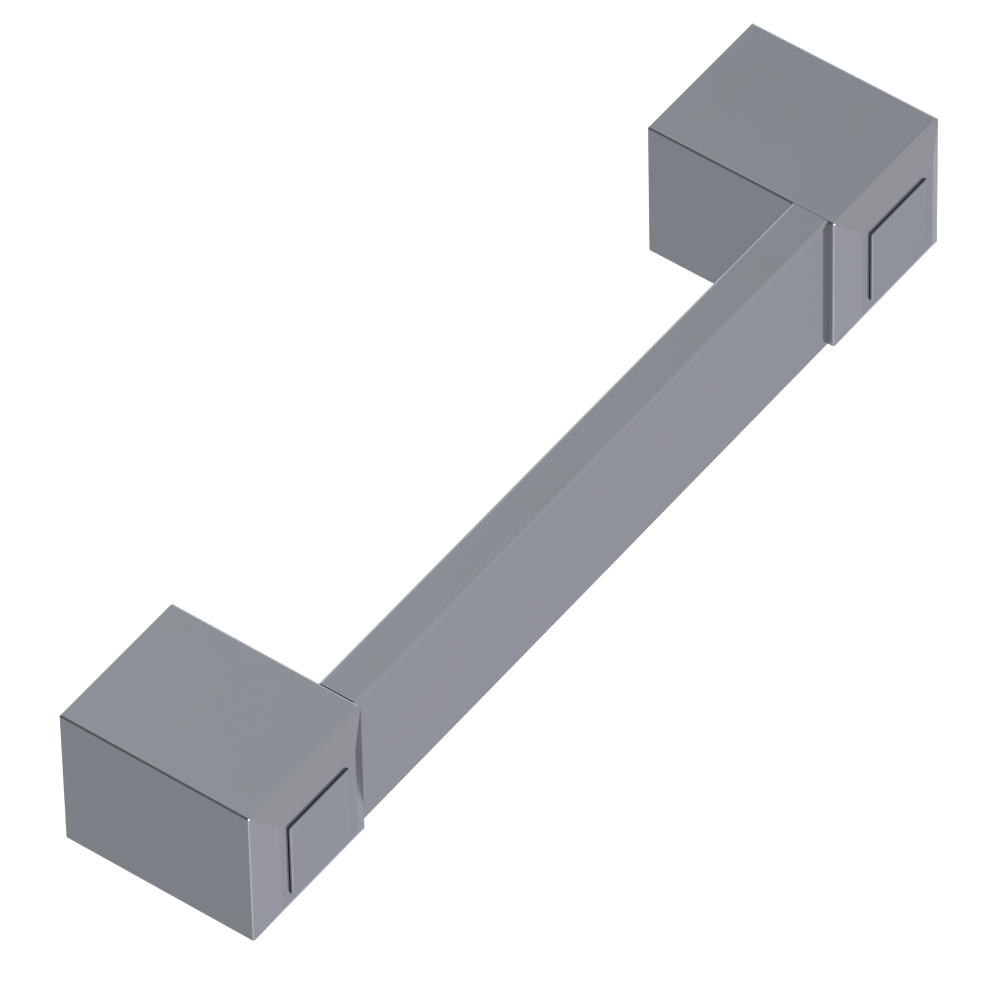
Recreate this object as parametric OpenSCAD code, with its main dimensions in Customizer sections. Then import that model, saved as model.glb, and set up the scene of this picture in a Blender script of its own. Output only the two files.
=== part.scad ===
// Cabinet handle: a flat bar let into two square posts, fixed to a door from behind.
// X runs along the bar, Z is up and the handle stands out of the door towards -Y.
// The origin is on the door's face, midway between the two fixing holes.

/* [Length] */
// Distance between the two fixing holes
hole_spacing = 128; // [96:32:320]

/* [Bar] */
// Thickness of the bar, front to back
bar_thickness = 5.9; // [5:0.1:8]
// How far the bar's face lies behind the posts' front edge
bar_setback = 0.85; // [0.5:0.05:2]
// How deep the bar's ends are let into the posts' sides
housing_depth = 0.1; // [0.05:0.05:0.4]

/* [Posts] */
// Width of a post, along the bar
post_width = 24; // [23:0.5:40]
// Height of the posts and of the bar
post_height = 24; // [23:0.5:40]
// Depth of a post, from the door to its front edge
post_depth = 30.3; // [29:0.1:50]
// Width of the four sloping bands round a post's front
band_width = 3.9; // [2:0.1:5]
// How far the flat middle of a post's front stands out past its edge
front_rise = 1.9; // [1:0.1:3]
// Rounding of the edges of the posts and of the bar
edge_radius = 0.45; // [0.2:0.05:0.8]

/* [Caps] */
// Side of the square cap on each post
cap_size = 12.65; // [11:0.05:14.5]
// How far the cap stands out of the post's front
cap_proud = 0.5; // [0.3:0.05:1]
// Depth of the square pocket that the cap sits in
cap_seat = 1.6; // [1.2:0.1:2]
// Gap round the cap in its pocket
cap_gap = 0.15; // [0.1:0.05:0.4]
// Rounding of the cap's edges
cap_radius = 0.25; // [0.1:0.05:0.3]
// Wall of the ring under the cap
ring_wall = 0.7; // [0.5:0.1:1]
// Length of the ring under the cap
ring_length = 1.6; // [1:0.1:2]

/* [Clamping screws] */
// Thread diameter of the screw that holds the bar in a post
screw_d = 3; // [2.5:0.5:4]
// Length of the screw under its head
screw_length = 12; // [8:0.5:15]
// Diameter of the screw's head
head_d = 5.5; // [5:0.5:7]
// Height of the screw's head
head_height = 2; // [1.6:0.1:2.4]
// Width of the hexagon socket across its flats
socket_width = 2; // [1.5:0.5:2.5]
// Depth of the hexagon socket
socket_depth = 1.1; // [0.8:0.1:1.3]

/* [Tenons] */
// Thickness of the tenon at each end of the bar
tenon_thickness = 4; // [3:0.25:4.5]
// Height of the tenon
tenon_height = 14; // [10:0.5:18]
// Length of the tenon past the middle of the screw
tenon_past_screw = 5; // [4:0.5:8]

/* [Fixing holes] */
// Thread diameter of the hole in each post's back
fixing_d = 4; // [3:0.5:6]
// Full depth of the thread in each post's back
fixing_depth = 10; // [6:0.5:12]

/* [Fits] */
// Gap in front of and behind the bar's end in its housing
housing_gap = 0.02; // [0.01:0.01:0.05]
// Gap round the tenon in its mortise
tenon_gap = 0.1; // [0.05:0.05:0.3]
// Gap past the end of the tenon
tenon_end_gap = 0.3; // [0.1:0.1:1]
// Gap between the cap's ring and its bore in the post
ring_gap = 0.1; // [0.05:0.05:0.3]
// Gap between the cap's ring and the screw's head
head_gap = 0.3; // [0.1:0.05:0.5]
// Room between the screw's head and the cap
head_room = 0.4; // [0.2:0.1:1]
// Gap between the screw's thread and its tapped hole
thread_gap = 0.05; // [0.02:0.01:0.1]
// Gap round the screw in the tenon
clearance_hole_gap = 0.2; // [0.1:0.05:0.4]
// Length of thread left free past the screw's end
thread_spare = 1; // [0.5:0.5:2]

/* [Hidden] */
$fn = 64;

// How far a cutting shape runs past the surface it cuts
cut_over = 1;
// Half of the point angle that a drill leaves at the bottom of a hole
drill_half_angle = 59;
// Chamfer on the screw's head and on its end
screw_chamfer = 0.3;

// The posts are centred on the fixing holes, and the bar fills the clear length between them
post_x = hole_spacing / 2;
grip_length = hole_spacing - post_width;

// Distances out from the door
front_plane = post_depth + front_rise;
bar_front = post_depth - bar_setback;
bar_middle = bar_front - bar_thickness / 2;
cap_floor = front_plane - cap_seat;
tenon_front = cap_floor - head_room - head_height;
tenon_middle = tenon_front - tenon_thickness / 2;
screw_tip = tenon_front - screw_length;
thread_bottom = screw_tip - thread_spare;

// The tenon reaches from the post's side, past the screw
tenon_length = post_width / 2 + tenon_past_screw;
mortise_length = tenon_length + tenon_end_gap;

// The cap's ring fits round the screw's head, and its bore round the ring
pocket_size = cap_size + 2 * cap_gap;
ring_inner_d = head_d + 2 * head_gap;
ring_outer_d = ring_inner_d + 2 * ring_wall;
ring_bore_d = ring_outer_d + 2 * ring_gap;

post_grey = [0.56, 0.57, 0.60];
bar_grey = [0.55, 0.56, 0.59];
cap_grey = [0.58, 0.58, 0.62];
screw_grey = [0.42, 0.42, 0.44];

function unit(v) = v / norm(v);

// A rounded corner at b, between its neighbours a and c: tangent points, arc centre and radius
function corner(a, b, c, r) =
    let (u = unit(a - b), w = unit(c - b), half = acos(u * w) / 2, t = r / tan(half))
    [[b + u * t, b + w * t], b + unit(u + w) * r / sin(half), r];

// A convex outline with true arcs at the corners whose radius isn't 0
module rounded_outline(points, radii) {
    last = len(points) - 1;
    corners = [for (i = [0:last])
        corner(points[i == 0 ? last : i - 1], points[i], points[i == last ? 0 : i + 1], radii[i])];
    polygon([for (i = [0:last]) each (radii[i] > 0 ? corners[i][0] : [points[i]])]);
    for (c = corners)
        if (c[2] > 0)
            translate(c[1])
                circle(r = c[2]);
}

module rounded_rectangle(width, height, r) {
    x = width / 2;
    y = height / 2;
    rounded_outline([[-x, -y], [x, -y], [x, y], [-x, y]], [r, r, r, r]);
}

// A plate's outline from its back at y = 0 to its rounded front edges at y = depth
module plate_profile(width, depth, r) {
    x = width / 2;
    rounded_outline([[-x, 0], [x, 0], [x, depth], [-x, depth]], [0, 0, r, r]);
}

// A post's outline from the door at y = 0 to the raised flat between its sloping bands
module post_profile(width) {
    x = width / 2;
    flat_x = x - band_width;
    rounded_outline(
        [[-x, 0], [x, 0], [x, post_depth], [flat_x, front_plane], [-flat_x, front_plane], [-x, post_depth]],
        [0, 0, edge_radius, 0, 0, edge_radius]);
}

// Outlines drawn as across and out from the door: extruded up, extruded along, and facing the door
module seen_from_above(height) rotate([0, 0, 180]) linear_extrude(height, center = true) children();
module seen_from_end(length) rotate([180, -90, 0]) linear_extrude(length, center = true) children();
module seen_from_front(depth) rotate([90, 0, 0]) linear_extrude(depth) children();

// Puts what is drawn up from z = 0 on an axis square to the door, at a distance out from it
module out_from_door(distance) rotate([90, 0, 0]) translate([0, 0, distance]) children();

// A drilled hole that runs towards the door from its mouth and ends in the drill's cone
module drilled_hole(d, depth) {
    point = d / 2 / tan(drill_half_angle);
    translate([0, 0, -depth])
        cylinder(d = d, h = depth + cut_over);
    translate([0, 0, -depth - point])
        cylinder(d1 = 0, d2 = d, h = point);
}

// Solid post with four sloping bands that mitre to the corners, on the Y axis
module post_block() {
    intersection() {
        seen_from_above(post_height) post_profile(post_width);
        seen_from_end(post_width) post_profile(post_height);
        seen_from_front(front_plane) rounded_rectangle(post_width, post_height, edge_radius);
    }
}

// Shallow channel for the bar's end, across the post's side at -X
module housing() {
    thickness = bar_thickness + 2 * housing_gap;
    translate([-post_width / 2 - cut_over, -bar_middle - thickness / 2, -post_height / 2 - cut_over])
        cube([housing_depth + cut_over, thickness, post_height + 2 * cut_over]);
}

// Blind slot for the tenon, open on the same side
module mortise() {
    height = tenon_height + 2 * tenon_gap;
    thickness = tenon_thickness + 2 * tenon_gap;
    translate([-post_width / 2 - cut_over, -tenon_middle - thickness / 2, -height / 2])
        cube([mortise_length + cut_over, thickness, height]);
}

// Square pocket for the cap, the bore for its ring, and the tapped hole for the screw
module cap_seating() {
    out_from_door(cap_floor)
        linear_extrude(cap_seat + cut_over)
            rounded_rectangle(pocket_size, pocket_size, cap_radius + cap_gap);
    out_from_door(tenon_front)
        cylinder(d = ring_bore_d, h = cap_floor + cut_over - tenon_front);
    out_from_door(tenon_front)
        drilled_hole(screw_d, tenon_front - thread_bottom);
}

// Tapped hole that the screw through the door goes into
module fixing_hole() {
    rotate([180, 0, 0])
        out_from_door(0)
            drilled_hole(fixing_d, fixing_depth);
}

// The post at the bar's +X end
module post() {
    color(post_grey)
        difference() {
            post_block();
            housing();
            mortise();
            cap_seating();
            fixing_hole();
        }
}

// Flat bar with rounded long edges, let into the posts, and a tenon with a cross hole at each end
module bar() {
    tongue = grip_length + 2 * tenon_length;
    color(bar_grey)
        difference() {
            union() {
                translate([0, -bar_middle, 0])
                    seen_from_end(grip_length + 2 * housing_depth)
                        rounded_rectangle(post_height, bar_thickness, edge_radius);
                translate([-tongue / 2, -tenon_middle - tenon_thickness / 2, -tenon_height / 2])
                    cube([tongue, tenon_thickness, tenon_height]);
            }
            for (side = [-1, 1])
                translate([side * post_x, 0, 0])
                    out_from_door(tenon_front - tenon_thickness - cut_over)
                        cylinder(d = screw_d + 2 * clearance_hole_gap, h = tenon_thickness + 2 * cut_over);
        }
}

// Low-head socket screw, its head on the tenon and its thread in the post
module screw() {
    thread_r = screw_d / 2 - thread_gap;
    head_r = head_d / 2;
    head_top = tenon_front + head_height;
    color(screw_grey)
        out_from_door(0)
            difference() {
                rotate_extrude()
                    polygon([
                        [0, screw_tip],
                        [thread_r - screw_chamfer, screw_tip],
                        [thread_r, screw_tip + screw_chamfer],
                        [thread_r, tenon_front],
                        [head_r, tenon_front],
                        [head_r, head_top - screw_chamfer],
                        [head_r - screw_chamfer, head_top],
                        [0, head_top]]);
                translate([0, 0, head_top - socket_depth])
                    cylinder(d = socket_width / cos(30), h = socket_depth + cut_over, $fn = 6);
            }
}

// Square cap that covers the screw: a plate on the pocket's floor and a ring round the head
module cap() {
    thickness = cap_seat + cap_proud;
    color(cap_grey)
        union() {
            translate([0, -cap_floor, 0])
                intersection() {
                    seen_from_above(cap_size) plate_profile(cap_size, thickness, cap_radius);
                    seen_from_end(cap_size) plate_profile(cap_size, thickness, cap_radius);
                    seen_from_front(thickness) rounded_rectangle(cap_size, cap_size, cap_radius);
                }
            out_from_door(cap_floor - ring_length)
                difference() {
                    cylinder(d = ring_outer_d, h = ring_length);
                    translate([0, 0, -cut_over])
                        cylinder(d = ring_inner_d, h = ring_length + cut_over);
                }
        }
}

// The left end is the right end's mirror image
module at_right() translate([post_x, 0, 0]) children();
module at_left() mirror([1, 0, 0]) translate([post_x, 0, 0]) children();

bar();
at_left() post();  // post_left
at_right() post();  // post_right
at_left() screw();  // screw_left
at_right() screw();  // screw_right
at_left() cap();  // cap_left
at_right() cap();  // cap_right
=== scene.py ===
import math

import bmesh
import bpy
from mathutils import Matrix, Vector


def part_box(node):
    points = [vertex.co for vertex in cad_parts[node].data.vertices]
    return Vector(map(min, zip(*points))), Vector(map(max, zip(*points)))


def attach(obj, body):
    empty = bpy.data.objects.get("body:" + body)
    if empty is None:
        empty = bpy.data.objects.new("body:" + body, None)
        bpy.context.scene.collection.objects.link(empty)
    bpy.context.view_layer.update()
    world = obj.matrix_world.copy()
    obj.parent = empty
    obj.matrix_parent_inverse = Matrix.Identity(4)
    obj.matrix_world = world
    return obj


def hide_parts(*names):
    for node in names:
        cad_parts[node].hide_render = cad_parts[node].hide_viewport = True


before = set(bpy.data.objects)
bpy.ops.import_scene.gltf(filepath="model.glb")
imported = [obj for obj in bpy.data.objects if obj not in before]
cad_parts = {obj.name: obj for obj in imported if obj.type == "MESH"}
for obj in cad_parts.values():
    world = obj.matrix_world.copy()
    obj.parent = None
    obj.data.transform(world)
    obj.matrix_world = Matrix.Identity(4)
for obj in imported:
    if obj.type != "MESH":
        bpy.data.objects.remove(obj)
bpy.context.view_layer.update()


# The posts
# Two solid square posts of satin grey aluminium. Each one's front is a shallow truncated pyramid
# whose four bands mitre to the corners. Pocket, bores and mortise are milled in, and the edges
# are rounded.

MM = 0.001

post_low, post_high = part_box("post_right")
post_x = (post_low.x + post_high.x) / 2
post_half_width = (post_high.x - post_low.x) / 2
post_half_height = (post_high.z - post_low.z) / 2
front_plane = -post_low.y
front_rise = 1.9 * MM
band_width = 3.9 * MM
post_depth = front_plane - front_rise
edge_radius = 0.45 * MM
back_edge_break = 0.12 * MM
edge_steps = 8

bar_thickness = 5.9 * MM
bar_setback = 0.85 * MM
bar_front = post_depth - bar_setback
bar_back = bar_front - bar_thickness
housing_depth = 0.1 * MM
housing_gap = 0.02 * MM

cap_size = 12.65 * MM
cap_gap = 0.15 * MM
cap_seat = 1.6 * MM
cap_radius = 0.25 * MM
cap_floor = front_plane - cap_seat

screw_radius = 1.5 * MM
screw_head_height = 2 * MM
screw_head_room = 0.4 * MM
screw_length = 12 * MM
thread_spare = 1 * MM
ring_bore_radius = 3.85 * MM
tenon_thickness = 4 * MM
tenon_half_height = 7 * MM
tenon_past_screw = 5 * MM
tenon_gap = 0.1 * MM
tenon_end_gap = 0.3 * MM
tenon_front = cap_floor - screw_head_room - screw_head_height
tenon_back = tenon_front - tenon_thickness
screw_hole_bottom = tenon_front - screw_length - thread_spare

fixing_radius = 2 * MM
fixing_depth = 10 * MM
drill_half_angle = math.radians(59)
round_steps = 64
cut_over = 1 * MM

metal_colour = (0.29, 0.30, 0.33)
metal_roughness = 0.11


def new_piece(name, bm):
    """A piece at the origin whose mesh is the bmesh's, its faces turned outwards."""
    bmesh.ops.recalc_face_normals(bm, faces=bm.faces)
    mesh = bpy.data.meshes.new(name)
    bm.to_mesh(mesh)
    bm.free()
    piece = bpy.data.objects.new(name, mesh)
    bpy.context.scene.collection.objects.link(piece)
    return piece


def settle(piece):
    """Makes what the piece's modifiers show its plain mesh."""
    shown = piece.evaluated_get(bpy.context.evaluated_depsgraph_get())
    mesh = bpy.data.meshes.new_from_object(shown)
    mesh.name = piece.name
    piece.modifiers.clear()
    piece.data = mesh


def combine(piece, other, operation):
    """Cuts another solid out of a piece, or joins it on, and deletes the other."""
    step = piece.modifiers.new("combine", "BOOLEAN")
    step.operation = operation
    step.solver = "EXACT"
    step.object = other
    settle(piece)
    bpy.data.objects.remove(other)


def loft(outlines, weights=None):
    """A closed solid through like outlines, with bevel weights for rings and rising edges."""
    bm = bmesh.new()
    rings = [[bm.verts.new(point) for point in outline] for outline in outlines]
    count = len(rings[0])
    for lower, upper in zip(rings, rings[1:]):
        for i in range(count):
            j = (i + 1) % count
            bm.faces.new((lower[i], lower[j], upper[j], upper[i]))
    bm.faces.new(rings[0])
    bm.faces.new(rings[-1])
    if weights:
        layer = bm.edges.layers.float.new("bevel_weight_edge")
        for k, (ring_weight, rise_weight) in enumerate(weights):
            for i in range(count):
                bm.edges.get((rings[k][i], rings[k][(i + 1) % count]))[layer] = ring_weight
                if k + 1 < len(rings):
                    bm.edges.get((rings[k][i], rings[k + 1][i]))[layer] = rise_weight
    return bm


def rectangle(x, half_x, half_z, depth):
    """Four corners of a rectangle that faces the door, at a distance out from it."""
    corners = ((-1, -1), (1, -1), (1, 1), (-1, 1))
    return [Vector((x + sx * half_x, -depth, sz * half_z)) for sx, sz in corners]


def rounded_rectangle(x, half, r, depth, steps=8):
    """Outline of a square with rounded corners that faces the door."""
    points = []
    for quarter, (sx, sz) in enumerate(((1, 1), (-1, 1), (-1, -1), (1, -1))):
        for i in range(steps + 1):
            a = math.pi / 2 * (quarter + i / steps)
            points.append(Vector((
                x + sx * (half - r) + r * math.cos(a),
                -depth,
                sz * (half - r) + r * math.sin(a))))
    return points


def turned(x, outline, steps=round_steps):
    """A closed solid turned about an axis square to the door, from (radius, distance out) pairs."""
    bm = bmesh.new()
    rings = []
    for radius, depth in outline:
        if radius == 0:
            rings.append([bm.verts.new((x, -depth, 0))] * steps)
            continue
        turn = [2 * math.pi * i / steps for i in range(steps)]
        rings.append([
            bm.verts.new((x + radius * math.cos(a), -depth, radius * math.sin(a))) for a in turn])
    for lower, upper in zip(rings, rings[1:]):
        for i in range(steps):
            j = (i + 1) % steps
            corners = [lower[i], lower[j], upper[j], upper[i]]
            bm.faces.new(list(dict.fromkeys(corners)))
    return bm


def round_edges(piece, radius):
    """Rounds the edges that carry a bevel weight, weight 1 being this radius on a square edge."""
    step = piece.modifiers.new("round_edges", "BEVEL")
    step.limit_method = "WEIGHT"
    step.offset_type = "OFFSET"
    step.width = radius
    step.segments = edge_steps
    step.profile = 0.5
    step.use_clamp_overlap = False
    settle(piece)


def smooth_shading(piece, crease=math.radians(20)):
    """Shades the rounds smooth, and keeps the flats flat and the creases crisp."""
    weld = 1e-7
    bm = bmesh.new()
    bm.from_mesh(piece.data)
    bmesh.ops.remove_doubles(bm, verts=bm.verts, dist=weld)
    bmesh.ops.dissolve_degenerate(bm, edges=bm.edges, dist=weld)
    for face in bm.faces:
        face.smooth = True
    for edge in bm.edges:
        edge.smooth = len(edge.link_faces) == 2 and edge.calc_face_angle() < crease
    bm.to_mesh(piece.data)
    bm.free()
    step = piece.modifiers.new("flat_faces", "WEIGHTED_NORMAL")
    step.keep_sharp = True
    step.mode = "FACE_AREA"
    settle(piece)


def satin_metal(name, colour, roughness):
    """Fine satin metal, faintly cloudy in colour and sheen, with the grain that blasting leaves."""
    material = bpy.data.materials.new(name)
    material.use_nodes = True
    nodes, links = material.node_tree.nodes, material.node_tree.links
    metal = nodes["Principled BSDF"]
    metal.inputs["Metallic"].default_value = 1
    edge_tint = 0.78
    metal.inputs["Specular Tint"].default_value = (edge_tint, edge_tint, edge_tint, 1)
    place = nodes.new("ShaderNodeTexCoord")

    cloud_size = 12 * MM
    clouds = nodes.new("ShaderNodeTexNoise")
    clouds.inputs["Scale"].default_value = 1 / cloud_size
    clouds.inputs["Detail"].default_value = 2
    links.new(place.outputs["Object"], clouds.inputs["Vector"])
    tint = nodes.new("ShaderNodeMix")
    tint.data_type = "RGBA"
    for socket, cloud in (("A", (0.975, 0.985, 0.97)), ("B", (1.025, 1.015, 1.03))):
        tint.inputs[socket].default_value = (*(a * b for a, b in zip(cloud, colour)), 1)
    links.new(clouds.outputs["Fac"], tint.inputs["Factor"])
    links.new(tint.outputs["Result"], metal.inputs["Base Color"])

    sheen_change = 0.01
    sheen = nodes.new("ShaderNodeMapRange")
    sheen.inputs["To Min"].default_value = roughness - sheen_change
    sheen.inputs["To Max"].default_value = roughness + sheen_change
    links.new(clouds.outputs["Fac"], sheen.inputs["Value"])
    links.new(sheen.outputs["Result"], metal.inputs["Roughness"])

    grain_size = 0.12 * MM
    grain_depth = 0.001 * MM
    grain_strength = 0.03
    grain = nodes.new("ShaderNodeTexNoise")
    grain.inputs["Scale"].default_value = 1 / grain_size
    grain.inputs["Detail"].default_value = 3
    links.new(place.outputs["Object"], grain.inputs["Vector"])
    bump = nodes.new("ShaderNodeBump")
    bump.inputs["Strength"].default_value = grain_strength
    bump.inputs["Distance"].default_value = grain_depth
    links.new(grain.outputs["Fac"], bump.inputs["Height"])
    links.new(bump.outputs["Normal"], metal.inputs["Normal"])
    return material


def post_block(side):
    """The outside of a post: a square bar whose front rises over four bands to a flat."""
    x = side * post_x
    band_turn = math.pi / 2 - math.atan2(front_rise, band_width)
    band_weight = math.tan(band_turn / 2)
    outlines = [
        rectangle(x, post_half_width, post_half_height, 0),
        rectangle(x, post_half_width, post_half_height, post_depth),
        rectangle(x, post_half_width - band_width, post_half_height - band_width, front_plane)]
    weights = [(back_edge_break / edge_radius, 1), (band_weight, 0), (0, 0)]
    block = new_piece("post_block", loft(outlines, weights))
    round_edges(block, edge_radius)
    return block


def housing(side):
    """The shallow channel for the bar's end, across the post's inner side."""
    inner = post_x - post_half_width - cut_over
    end = post_x - post_half_width + housing_depth
    middle = side * (inner + end) / 2
    half_length = (end - inner) / 2
    half_height = post_half_height + cut_over
    return new_piece("housing", loft([
        rectangle(middle, half_length, half_height, bar_back - housing_gap),
        rectangle(middle, half_length, half_height, bar_front + housing_gap)]))


def mortise(side):
    """The slot for the bar's tenon, open on the post's inner side."""
    inner = post_x - post_half_width - cut_over
    end = post_x + tenon_past_screw + tenon_end_gap
    middle = side * (inner + end) / 2
    half_length = (end - inner) / 2
    half_height = tenon_half_height + tenon_gap
    return new_piece("mortise", loft([
        rectangle(middle, half_length, half_height, tenon_back - tenon_gap),
        rectangle(middle, half_length, half_height, tenon_front + tenon_gap)]))


def cap_pocket(side):
    """The square pocket that the cap sits in."""
    half = cap_size / 2 + cap_gap
    r = cap_radius + cap_gap
    return new_piece("pocket", loft([
        rounded_rectangle(side * post_x, half, r, cap_floor),
        rounded_rectangle(side * post_x, half, r, front_plane + cut_over)]))


def screw_bore(side):
    """The bore for the cap's ring, and below it the screw's tapped hole with the drill's cone."""
    point = screw_radius / math.tan(drill_half_angle)
    return new_piece("screw_bore", turned(side * post_x, [
        (0, screw_hole_bottom - point),
        (screw_radius, screw_hole_bottom),
        (screw_radius, tenon_front),
        (ring_bore_radius, tenon_front),
        (ring_bore_radius, cap_floor + cut_over / 2),
        (0, cap_floor + cut_over / 2)]))


def fixing_bore(side):
    """The tapped hole in the post's back, with a small countersink at its mouth."""
    point = fixing_radius / math.tan(drill_half_angle)
    countersink = 0.25 * MM
    return new_piece("fixing_bore", turned(side * post_x, [
        (0, -cut_over),
        (fixing_radius + countersink + cut_over, -cut_over),
        (fixing_radius, countersink),
        (fixing_radius, fixing_depth),
        (0, fixing_depth + point)]))


post_metal = satin_metal("post_metal", metal_colour, metal_roughness)

for name, side in (("post_left", -1), ("post_right", 1)):
    post = post_block(side)
    for cutter in (housing, mortise, cap_pocket, screw_bore, fixing_bore):
        combine(post, cutter(side), "DIFFERENCE")
    post.name = f"{name}_dressed"
    smooth_shading(post)
    post.data.materials.append(post_metal)
    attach(post, "root")
    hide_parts(name)


# The fixing threads
# The M4 thread in the hole in each post's back, cut in the post's own metal. Each one is a ridge
# that winds along the hole's wall, from a little inside its mouth to the thread's full depth.

thread_start = 0.6 * MM
thread_length = 9 * MM
thread_sunk = 0.03 * MM
steps_per_turn = 48


def thread_tree():
    """Nodes that wind a ridge along an axis square to the door, and put it on both posts' axes."""
    tree = bpy.data.node_groups.new("threads", "GeometryNodeTree")
    for size in (
            "Spacing", "Start", "Length", "Pitch",
            "Root Radius", "Crest Radius", "Root Width", "Crest Width"):
        tree.interface.new_socket(size, in_out="INPUT", socket_type="NodeSocketFloat")
    tree.interface.new_socket("Material", in_out="INPUT", socket_type="NodeSocketMaterial")
    tree.interface.new_socket("Geometry", in_out="OUTPUT", socket_type="NodeSocketGeometry")
    nodes, links = tree.nodes, tree.links
    given = nodes.new("NodeGroupInput").outputs

    def worked_out(operation, *terms):
        step = nodes.new("ShaderNodeMath")
        step.operation = operation
        for socket, term in zip(step.inputs, terms):
            if isinstance(term, bpy.types.NodeSocket):
                links.new(term, socket)
            else:
                socket.default_value = term
        return step.outputs[0]

    def along(axis, distance):
        vector = nodes.new("ShaderNodeCombineXYZ")
        links.new(distance, vector.inputs[axis])
        return vector.outputs[0]

    path = nodes.new("GeometryNodeCurveSpiral")
    path.inputs["Resolution"].default_value = steps_per_turn
    both_radii = worked_out("ADD", given["Root Radius"], given["Crest Radius"])
    middle = worked_out("MULTIPLY", both_radii, 0.5)
    links.new(worked_out("DIVIDE", given["Length"], given["Pitch"]), path.inputs["Rotations"])
    links.new(middle, path.inputs["Start Radius"])
    links.new(middle, path.inputs["End Radius"])
    links.new(given["Length"], path.inputs["Height"])
    upright = nodes.new("GeometryNodeSetCurveNormal")
    upright.mode = "Z_UP"
    links.new(path.outputs[0], upright.inputs["Curve"])

    outwards = worked_out("SUBTRACT", given["Crest Radius"], given["Root Radius"])
    profile = nodes.new("GeometryNodeCurvePrimitiveQuadrilateral")
    profile.mode = "TRAPEZOID"
    profile.inputs["Offset"].default_value = 0
    links.new(worked_out("ABSOLUTE", outwards), profile.inputs["Height"])
    links.new(given["Root Width"], profile.inputs["Bottom Width"])
    links.new(given["Crest Width"], profile.inputs["Top Width"])
    facing = nodes.new("GeometryNodeTransform")
    quarter_turn = worked_out("MULTIPLY", worked_out("SIGN", outwards), math.pi / 2)
    links.new(along("Z", quarter_turn), facing.inputs["Rotation"])
    links.new(profile.outputs[0], facing.inputs["Geometry"])
    ridge = nodes.new("GeometryNodeCurveToMesh")
    ridge.inputs["Fill Caps"].default_value = True
    links.new(upright.outputs[0], ridge.inputs["Curve"])
    links.new(facing.outputs[0], ridge.inputs["Profile Curve"])

    laid = nodes.new("GeometryNodeTransform")
    laid.inputs["Rotation"].default_value = (math.pi / 2, 0, 0)
    links.new(along("Y", worked_out("MULTIPLY", given["Start"], -1)), laid.inputs["Translation"])
    links.new(ridge.outputs[0], laid.inputs["Geometry"])
    axes = nodes.new("GeometryNodeMeshLine")
    axes.inputs["Count"].default_value = 2
    first_axis = worked_out("MULTIPLY", given["Spacing"], -0.5)
    links.new(along("X", first_axis), axes.inputs["Start Location"])
    links.new(along("X", given["Spacing"]), axes.inputs["Offset"])
    both = nodes.new("GeometryNodeInstanceOnPoints")
    links.new(axes.outputs[0], both.inputs["Points"])
    links.new(laid.outputs[0], both.inputs["Instance"])
    real = nodes.new("GeometryNodeRealizeInstances")
    links.new(both.outputs[0], real.inputs[0])
    metal = nodes.new("GeometryNodeSetMaterial")
    links.new(real.outputs[0], metal.inputs["Geometry"])
    links.new(given["Material"], metal.inputs["Material"])
    links.new(metal.outputs[0], nodes.new("NodeGroupOutput").inputs[0])
    return tree


def wound(name, tree, values):
    """The mesh that the tree makes from values for its named inputs."""
    piece = bpy.data.objects.new(name, bpy.data.meshes.new(name))
    bpy.context.scene.collection.objects.link(piece)
    step = piece.modifiers.new("threads", "NODES")
    step.node_group = tree
    for socket in tree.interface.items_tree:
        if socket.name in values:
            step[socket.identifier] = values[socket.name]
    settle(piece)
    return piece


threads = thread_tree()
fixing_threads = wound("fixing_threads", threads, {
    "Spacing": 2 * post_x,
    "Start": thread_start,
    "Length": thread_length,
    "Pitch": 0.7 * MM,
    "Root Radius": fixing_radius + thread_sunk,
    "Crest Radius": 1.65 * MM,
    "Root Width": 0.6 * MM,
    "Crest Width": 0.2 * MM,
    "Material": post_metal})
smooth_shading(fixing_threads)
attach(fixing_threads, "root")


# The bar
# A flat bar of the same satin aluminium, its long edges rounded and its ends cut square and let
# into the posts. A tenon at each end reaches on into the post, with a cross hole for the clamping
# screw.

bar_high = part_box("bar")[1]
bar_half_length = post_low.x + housing_depth
bar_half_height = bar_high.z
tenon_end = bar_high.x
cross_hole_radius = 1.7 * MM


def bar_section(x):
    """Four corners of the bar's cross-section at a place along it."""
    corners = ((bar_back, -1), (bar_front, -1), (bar_front, 1), (bar_back, 1))
    return [Vector((x, -depth, end * bar_half_height)) for depth, end in corners]


bar = new_piece("bar_dressed", loft(
    [bar_section(-bar_half_length), bar_section(bar_half_length)],
    [(0, 1), (0, 0)]))
round_edges(bar, edge_radius)
tongue = loft([
    rectangle(0, tenon_end, tenon_half_height, tenon_back),
    rectangle(0, tenon_end, tenon_half_height, tenon_front)])
combine(bar, new_piece("tongue", tongue), "UNION")
for side in (-1, 1):
    hole = turned(side * post_x, [
        (0, tenon_back - cut_over),
        (cross_hole_radius, tenon_back - cut_over),
        (cross_hole_radius, tenon_front + cut_over),
        (0, tenon_front + cut_over)])
    combine(bar, new_piece("cross_hole", hole), "DIFFERENCE")
smooth_shading(bar)
bar.data.materials.append(satin_metal("bar_metal", metal_colour, metal_roughness))
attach(bar, "root")
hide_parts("bar")


# The clamping screws
# Zinc-plated M3 socket screws of turned steel, one in each post, hidden under its cap. The thread
# is rolled on the core up to the head, and the plating shows the fine rings that turning leaves.

steel_roughness = 0.3
mark_scale = 2000
mark_waver = 1.5

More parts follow.
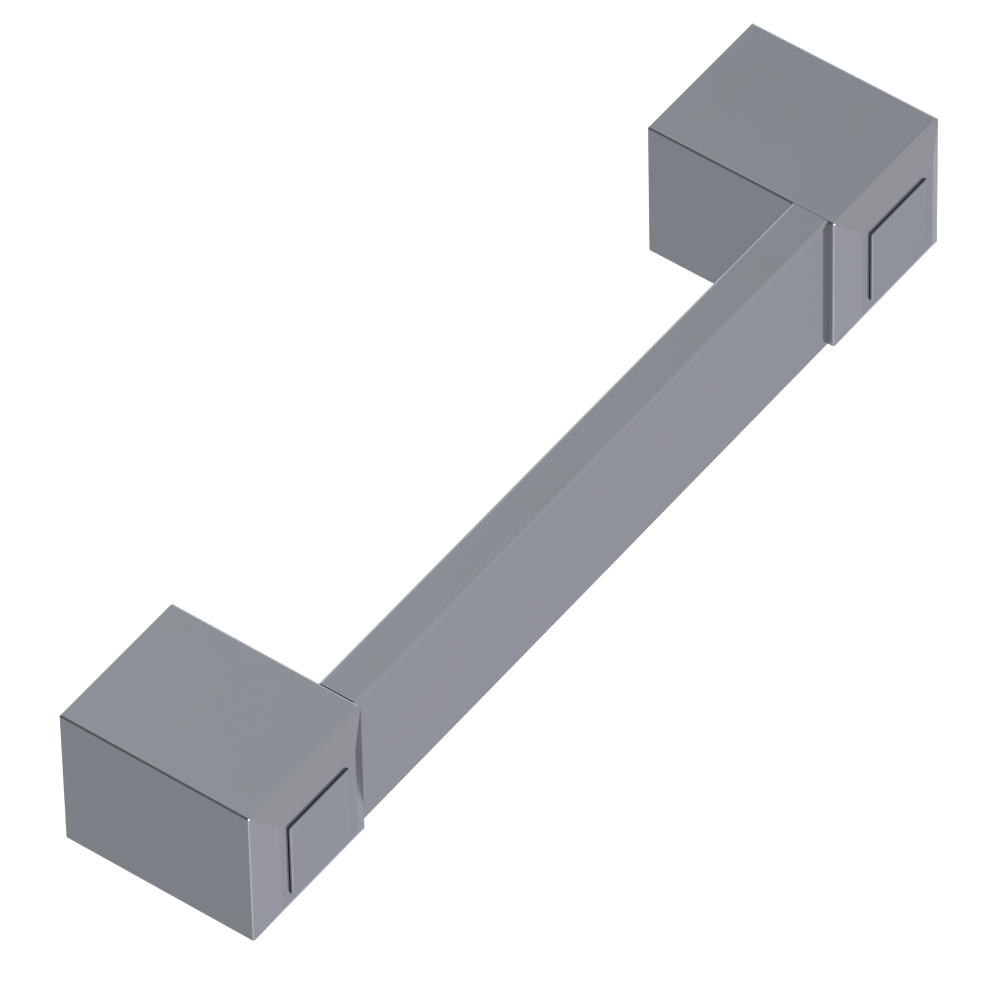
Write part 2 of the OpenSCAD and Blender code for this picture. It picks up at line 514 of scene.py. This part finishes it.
screw_steel = bpy.data.materials.new("screw_steel")
screw_steel.use_nodes = True
nodes, links = screw_steel.node_tree.nodes, screw_steel.node_tree.links
steel = nodes["Principled BSDF"]
steel.inputs["Metallic"].default_value = 1
place = nodes.new("ShaderNodeTexCoord")
turning_marks = nodes.new("ShaderNodeTexWave")
turning_marks.bands_direction = "Y"
turning_marks.inputs["Scale"].default_value = mark_scale
turning_marks.inputs["Distortion"].default_value = mark_waver
links.new(place.outputs["Object"], turning_marks.inputs["Vector"])
steel_tone = nodes.new("ShaderNodeMix")
steel_tone.data_type = "RGBA"
steel_tone.inputs["A"].default_value = (0.20, 0.20, 0.21, 1)
steel_tone.inputs["B"].default_value = (0.25, 0.25, 0.26, 1)
links.new(turning_marks.outputs["Fac"], steel_tone.inputs["Factor"])
links.new(steel_tone.outputs["Result"], steel.inputs["Base Color"])
steel.inputs["Roughness"].default_value = steel_roughness

screw_tip = tenon_front - screw_length
screw_top = tenon_front + screw_head_height
head_radius = 2.75 * MM
core_radius = 1.2 * MM
crest_radius = 1.45 * MM
chamfer = 0.3 * MM
socket_half_width = 1 * MM
socket_depth = 1.1 * MM

for name, side in (("screw_left", -1), ("screw_right", 1)):
    x = side * post_x
    screw = new_piece(f"{name}_dressed", turned(x, [
        (0, screw_tip),
        (core_radius - chamfer, screw_tip),
        (core_radius, screw_tip + chamfer),
        (core_radius, tenon_front),
        (head_radius, tenon_front),
        (head_radius, screw_top - chamfer),
        (head_radius - chamfer, screw_top),
        (0, screw_top)]))
    key_hole = turned(x, [
        (0, screw_top - socket_depth),
        (socket_half_width / math.cos(math.pi / 6), screw_top - socket_depth),
        (socket_half_width / math.cos(math.pi / 6), screw_top + cut_over),
        (0, screw_top + cut_over)], steps=6)
    combine(screw, new_piece("key_hole", key_hole), "DIFFERENCE")
    smooth_shading(screw)
    screw.data.materials.append(screw_steel)
    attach(screw, "root")
    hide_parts(name)

screw_threads = wound("screw_threads", threads, {
    "Spacing": 2 * post_x,
    "Start": screw_tip + chamfer,
    "Length": screw_length - 2 * chamfer,
    "Pitch": 0.5 * MM,
    "Root Radius": core_radius - thread_sunk,
    "Crest Radius": crest_radius,
    "Root Width": 0.4 * MM,
    "Crest Width": 0.08 * MM,
    "Material": screw_steel})
smooth_shading(screw_threads)
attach(screw_threads, "root")


# The caps
# A square cap of satin aluminium in each post's pocket, standing 0.5 mm proud. Its front edges are
# rounded, and the ring under it goes into the bore, round the screw's head.

cap_low, cap_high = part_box("cap_right")
cap_front = -cap_low.y
ring_foot = -cap_high.y
ring_inner_radius = 3.05 * MM
ring_outer_radius = 3.75 * MM
cap_metal = satin_metal("cap_metal", metal_colour, metal_roughness)

for name, side in (("cap_left", -1), ("cap_right", 1)):
    x = side * post_x
    cap = new_piece(f"{name}_dressed", loft(
        [
            rectangle(x, cap_size / 2, cap_size / 2, cap_floor),
            rectangle(x, cap_size / 2, cap_size / 2, cap_front)],
        [(0, 1), (1, 0)]))
    round_edges(cap, cap_radius)
    ring = turned(x, [
        (0, cap_floor + cap_seat / 2),
        (ring_outer_radius, cap_floor + cap_seat / 2),
        (ring_outer_radius, ring_foot),
        (ring_inner_radius, ring_foot),
        (ring_inner_radius, cap_floor),
        (0, cap_floor)])
    combine(cap, new_piece("ring", ring), "UNION")
    smooth_shading(cap)
    cap.data.materials.append(cap_metal)
    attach(cap, "root")
    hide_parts(name)


# The studio
# A pale paper floor well below the handle, one soft lamp on the left in front, and soft light from
# all round, brighter on the right and behind it. The handle hangs as it does on a door, so nothing
# touches the floor.

floor_drop = 0.12
floor_half = 3
floor_thickness = 0.01
paper_white = 0.9
paper_glow = 0.25
floor_corners = [
    (-floor_half, -floor_half),
    (floor_half, -floor_half),
    (floor_half, floor_half),
    (-floor_half, floor_half)]
floor = new_piece("floor", loft([
    [Vector((x, y, -floor_drop - below)) for x, y in floor_corners]
    for below in (floor_thickness, 0)]))
floor.visible_glossy = False

paper = bpy.data.materials.new("floor_paper")
paper.use_nodes = True
nodes, links = paper.node_tree.nodes, paper.node_tree.links
nodes.remove(nodes["Principled BSDF"])
pale = nodes.new("ShaderNodeBsdfDiffuse")
pale.inputs["Color"].default_value = (paper_white, paper_white, paper_white, 1)
# Only the camera sees the glow, so it lights nothing.
glow = nodes.new("ShaderNodeEmission")
path = nodes.new("ShaderNodeLightPath")
fill = nodes.new("ShaderNodeMath")
fill.operation = "MULTIPLY"
fill.inputs[1].default_value = paper_glow
links.new(path.outputs["Is Camera Ray"], fill.inputs[0])
links.new(fill.outputs[0], glow.inputs["Strength"])
both = nodes.new("ShaderNodeAddShader")
links.new(pale.outputs[0], both.inputs[0])
links.new(glow.outputs[0], both.inputs[1])
links.new(both.outputs[0], nodes["Material Output"].inputs["Surface"])
floor.data.materials.append(paper)

world = bpy.data.worlds.new("studio")
bpy.context.scene.world = world
world.use_nodes = True
nodes, links = world.node_tree.nodes, world.node_tree.links
direction = nodes.new("ShaderNodeTexCoord")


def soft_light(total, towards, spread, colour):
    """Adds light, or takes it away, round a direction out to an angle from it."""
    facing = nodes.new("ShaderNodeVectorMath")
    facing.operation = "DOT_PRODUCT"
    facing.inputs[1].default_value = Vector(towards).normalized()
    links.new(direction.outputs["Generated"], facing.inputs[0])
    fade = nodes.new("ShaderNodeMapRange")
    fade.interpolation_type = "SMOOTHERSTEP"
    fade.inputs["From Min"].default_value = math.cos(math.radians(spread))
    fade.inputs["From Max"].default_value = 1
    links.new(facing.outputs["Value"], fade.inputs["Value"])
    scaled = nodes.new("ShaderNodeVectorMath")
    scaled.operation = "SCALE"
    scaled.inputs[0].default_value = colour
    links.new(fade.outputs["Result"], scaled.inputs["Scale"])
    added = nodes.new("ShaderNodeVectorMath")
    added.operation = "ADD"
    links.new(total, added.inputs[0])
    links.new(scaled.outputs["Vector"], added.inputs[1])
    return added.outputs["Vector"]


all_round = nodes.new("ShaderNodeCombineXYZ")
for axis, strength in zip("XYZ", (0.602, 0.655, 0.639)):
    all_round.inputs[axis].default_value = strength
light = all_round.outputs[0]

# Each light's direction from the handle, its spread in degrees and its colour. A light below zero
# stands for something dark.
for towards, spread, colour in (
        ((0.10, -0.62, -0.78), 60, (0.372, 0.308, 0.370)),
        ((-0.53, -0.41, -0.74), 20, (0.720, 0.670, 0.560)),
        ((0.00, -0.66, -0.75), 25, (0.074, 0.069, 0.061)),
        ((0.50, -0.85, 0.0), 50, (0.308, 0.232, 0.238)),
        ((0.53, -0.30, 0.79), 45, (0.337, 0.319, 0.329)),
        ((0.418, 0.444, 0.797), 12.7, (0.305, 0.283, 0.291)),
        ((0.05, 0.41, 0.91), 22, (0.281, 0.280, 0.284)),
        ((0.88, 0.40, 0.22), 34, (1.137, 1.173, 1.138)),
        ((0.53, 0.80, 0.25), 40, (1.013, 0.996, 1.029)),
        ((0.60, 0.50, -0.62), 45, (0.020, 0.000, 0.095)),
        ((-0.53, 0.41, -0.74), 45, (0.094, 0.064, 0.085)),
        ((-0.74, 0.41, 0.53), 50, (-0.348, -0.380, -0.366)),
        ((0.65, -0.16, -0.74), 11, (-0.170, -0.180, -0.180))):
    light = soft_light(light, towards, spread, colour)

# The camera sees plain white, and the metal sees the soft lights.
seen = nodes.new("ShaderNodeMix")
seen.data_type = "RGBA"
seen.inputs["B"].default_value = (1, 1, 1, 1)
world_path = nodes.new("ShaderNodeLightPath")
links.new(world_path.outputs["Is Camera Ray"], seen.inputs["Factor"])
links.new(light, seen.inputs["A"])
links.new(seen.outputs["Result"], nodes["Background"].inputs["Color"])

lamp_distance = 1.2
lamp_size = 0.5
lamp_power = 9.4
lamp_place = Vector((-0.60, -0.72, 0.39)).normalized() * lamp_distance
lamp_turn = lamp_place.to_track_quat("Z", "Y").to_matrix().to_4x4()
lamp_data = bpy.data.lights.new("softbox", "AREA")
lamp_data.shape = "SQUARE"
lamp_data.size = lamp_size
lamp_data.energy = lamp_power
lamp = bpy.data.objects.new("softbox", lamp_data)
lamp.matrix_world = Matrix.Translation(lamp_place) @ lamp_turn
bpy.context.scene.collection.objects.link(lamp)


# The camera
# It looks down on the handle from the left in front, from 1.9 m away with a long lens, as the
# photograph does.

view_azimuth = math.radians(-52.5976)
view_elevation = math.radians(47.7693)
view_roll = math.radians(-1.3036)
view_distance = 1.9
view_centre = Vector((-0.009181, -0.020729, 0.006557))
sensor_width = 36
lens_length = 525.57

camera_data = bpy.data.cameras.new("camera")
camera_data.sensor_width = sensor_width
camera_data.lens = lens_length
camera = bpy.data.objects.new("camera", camera_data)
turn = (
    Matrix.Rotation(view_azimuth, 4, "Z")
    @ Matrix.Rotation(math.pi / 2 - view_elevation, 4, "X")
    @ Matrix.Rotation(view_roll, 4, "Z"))
back = Matrix.Translation((0, 0, view_distance))
camera.matrix_world = Matrix.Translation(view_centre) @ turn @ back
bpy.context.scene.collection.objects.link(camera)
bpy.context.scene.camera = camera
bpy.context.scene.view_settings.view_transform = "Standard"
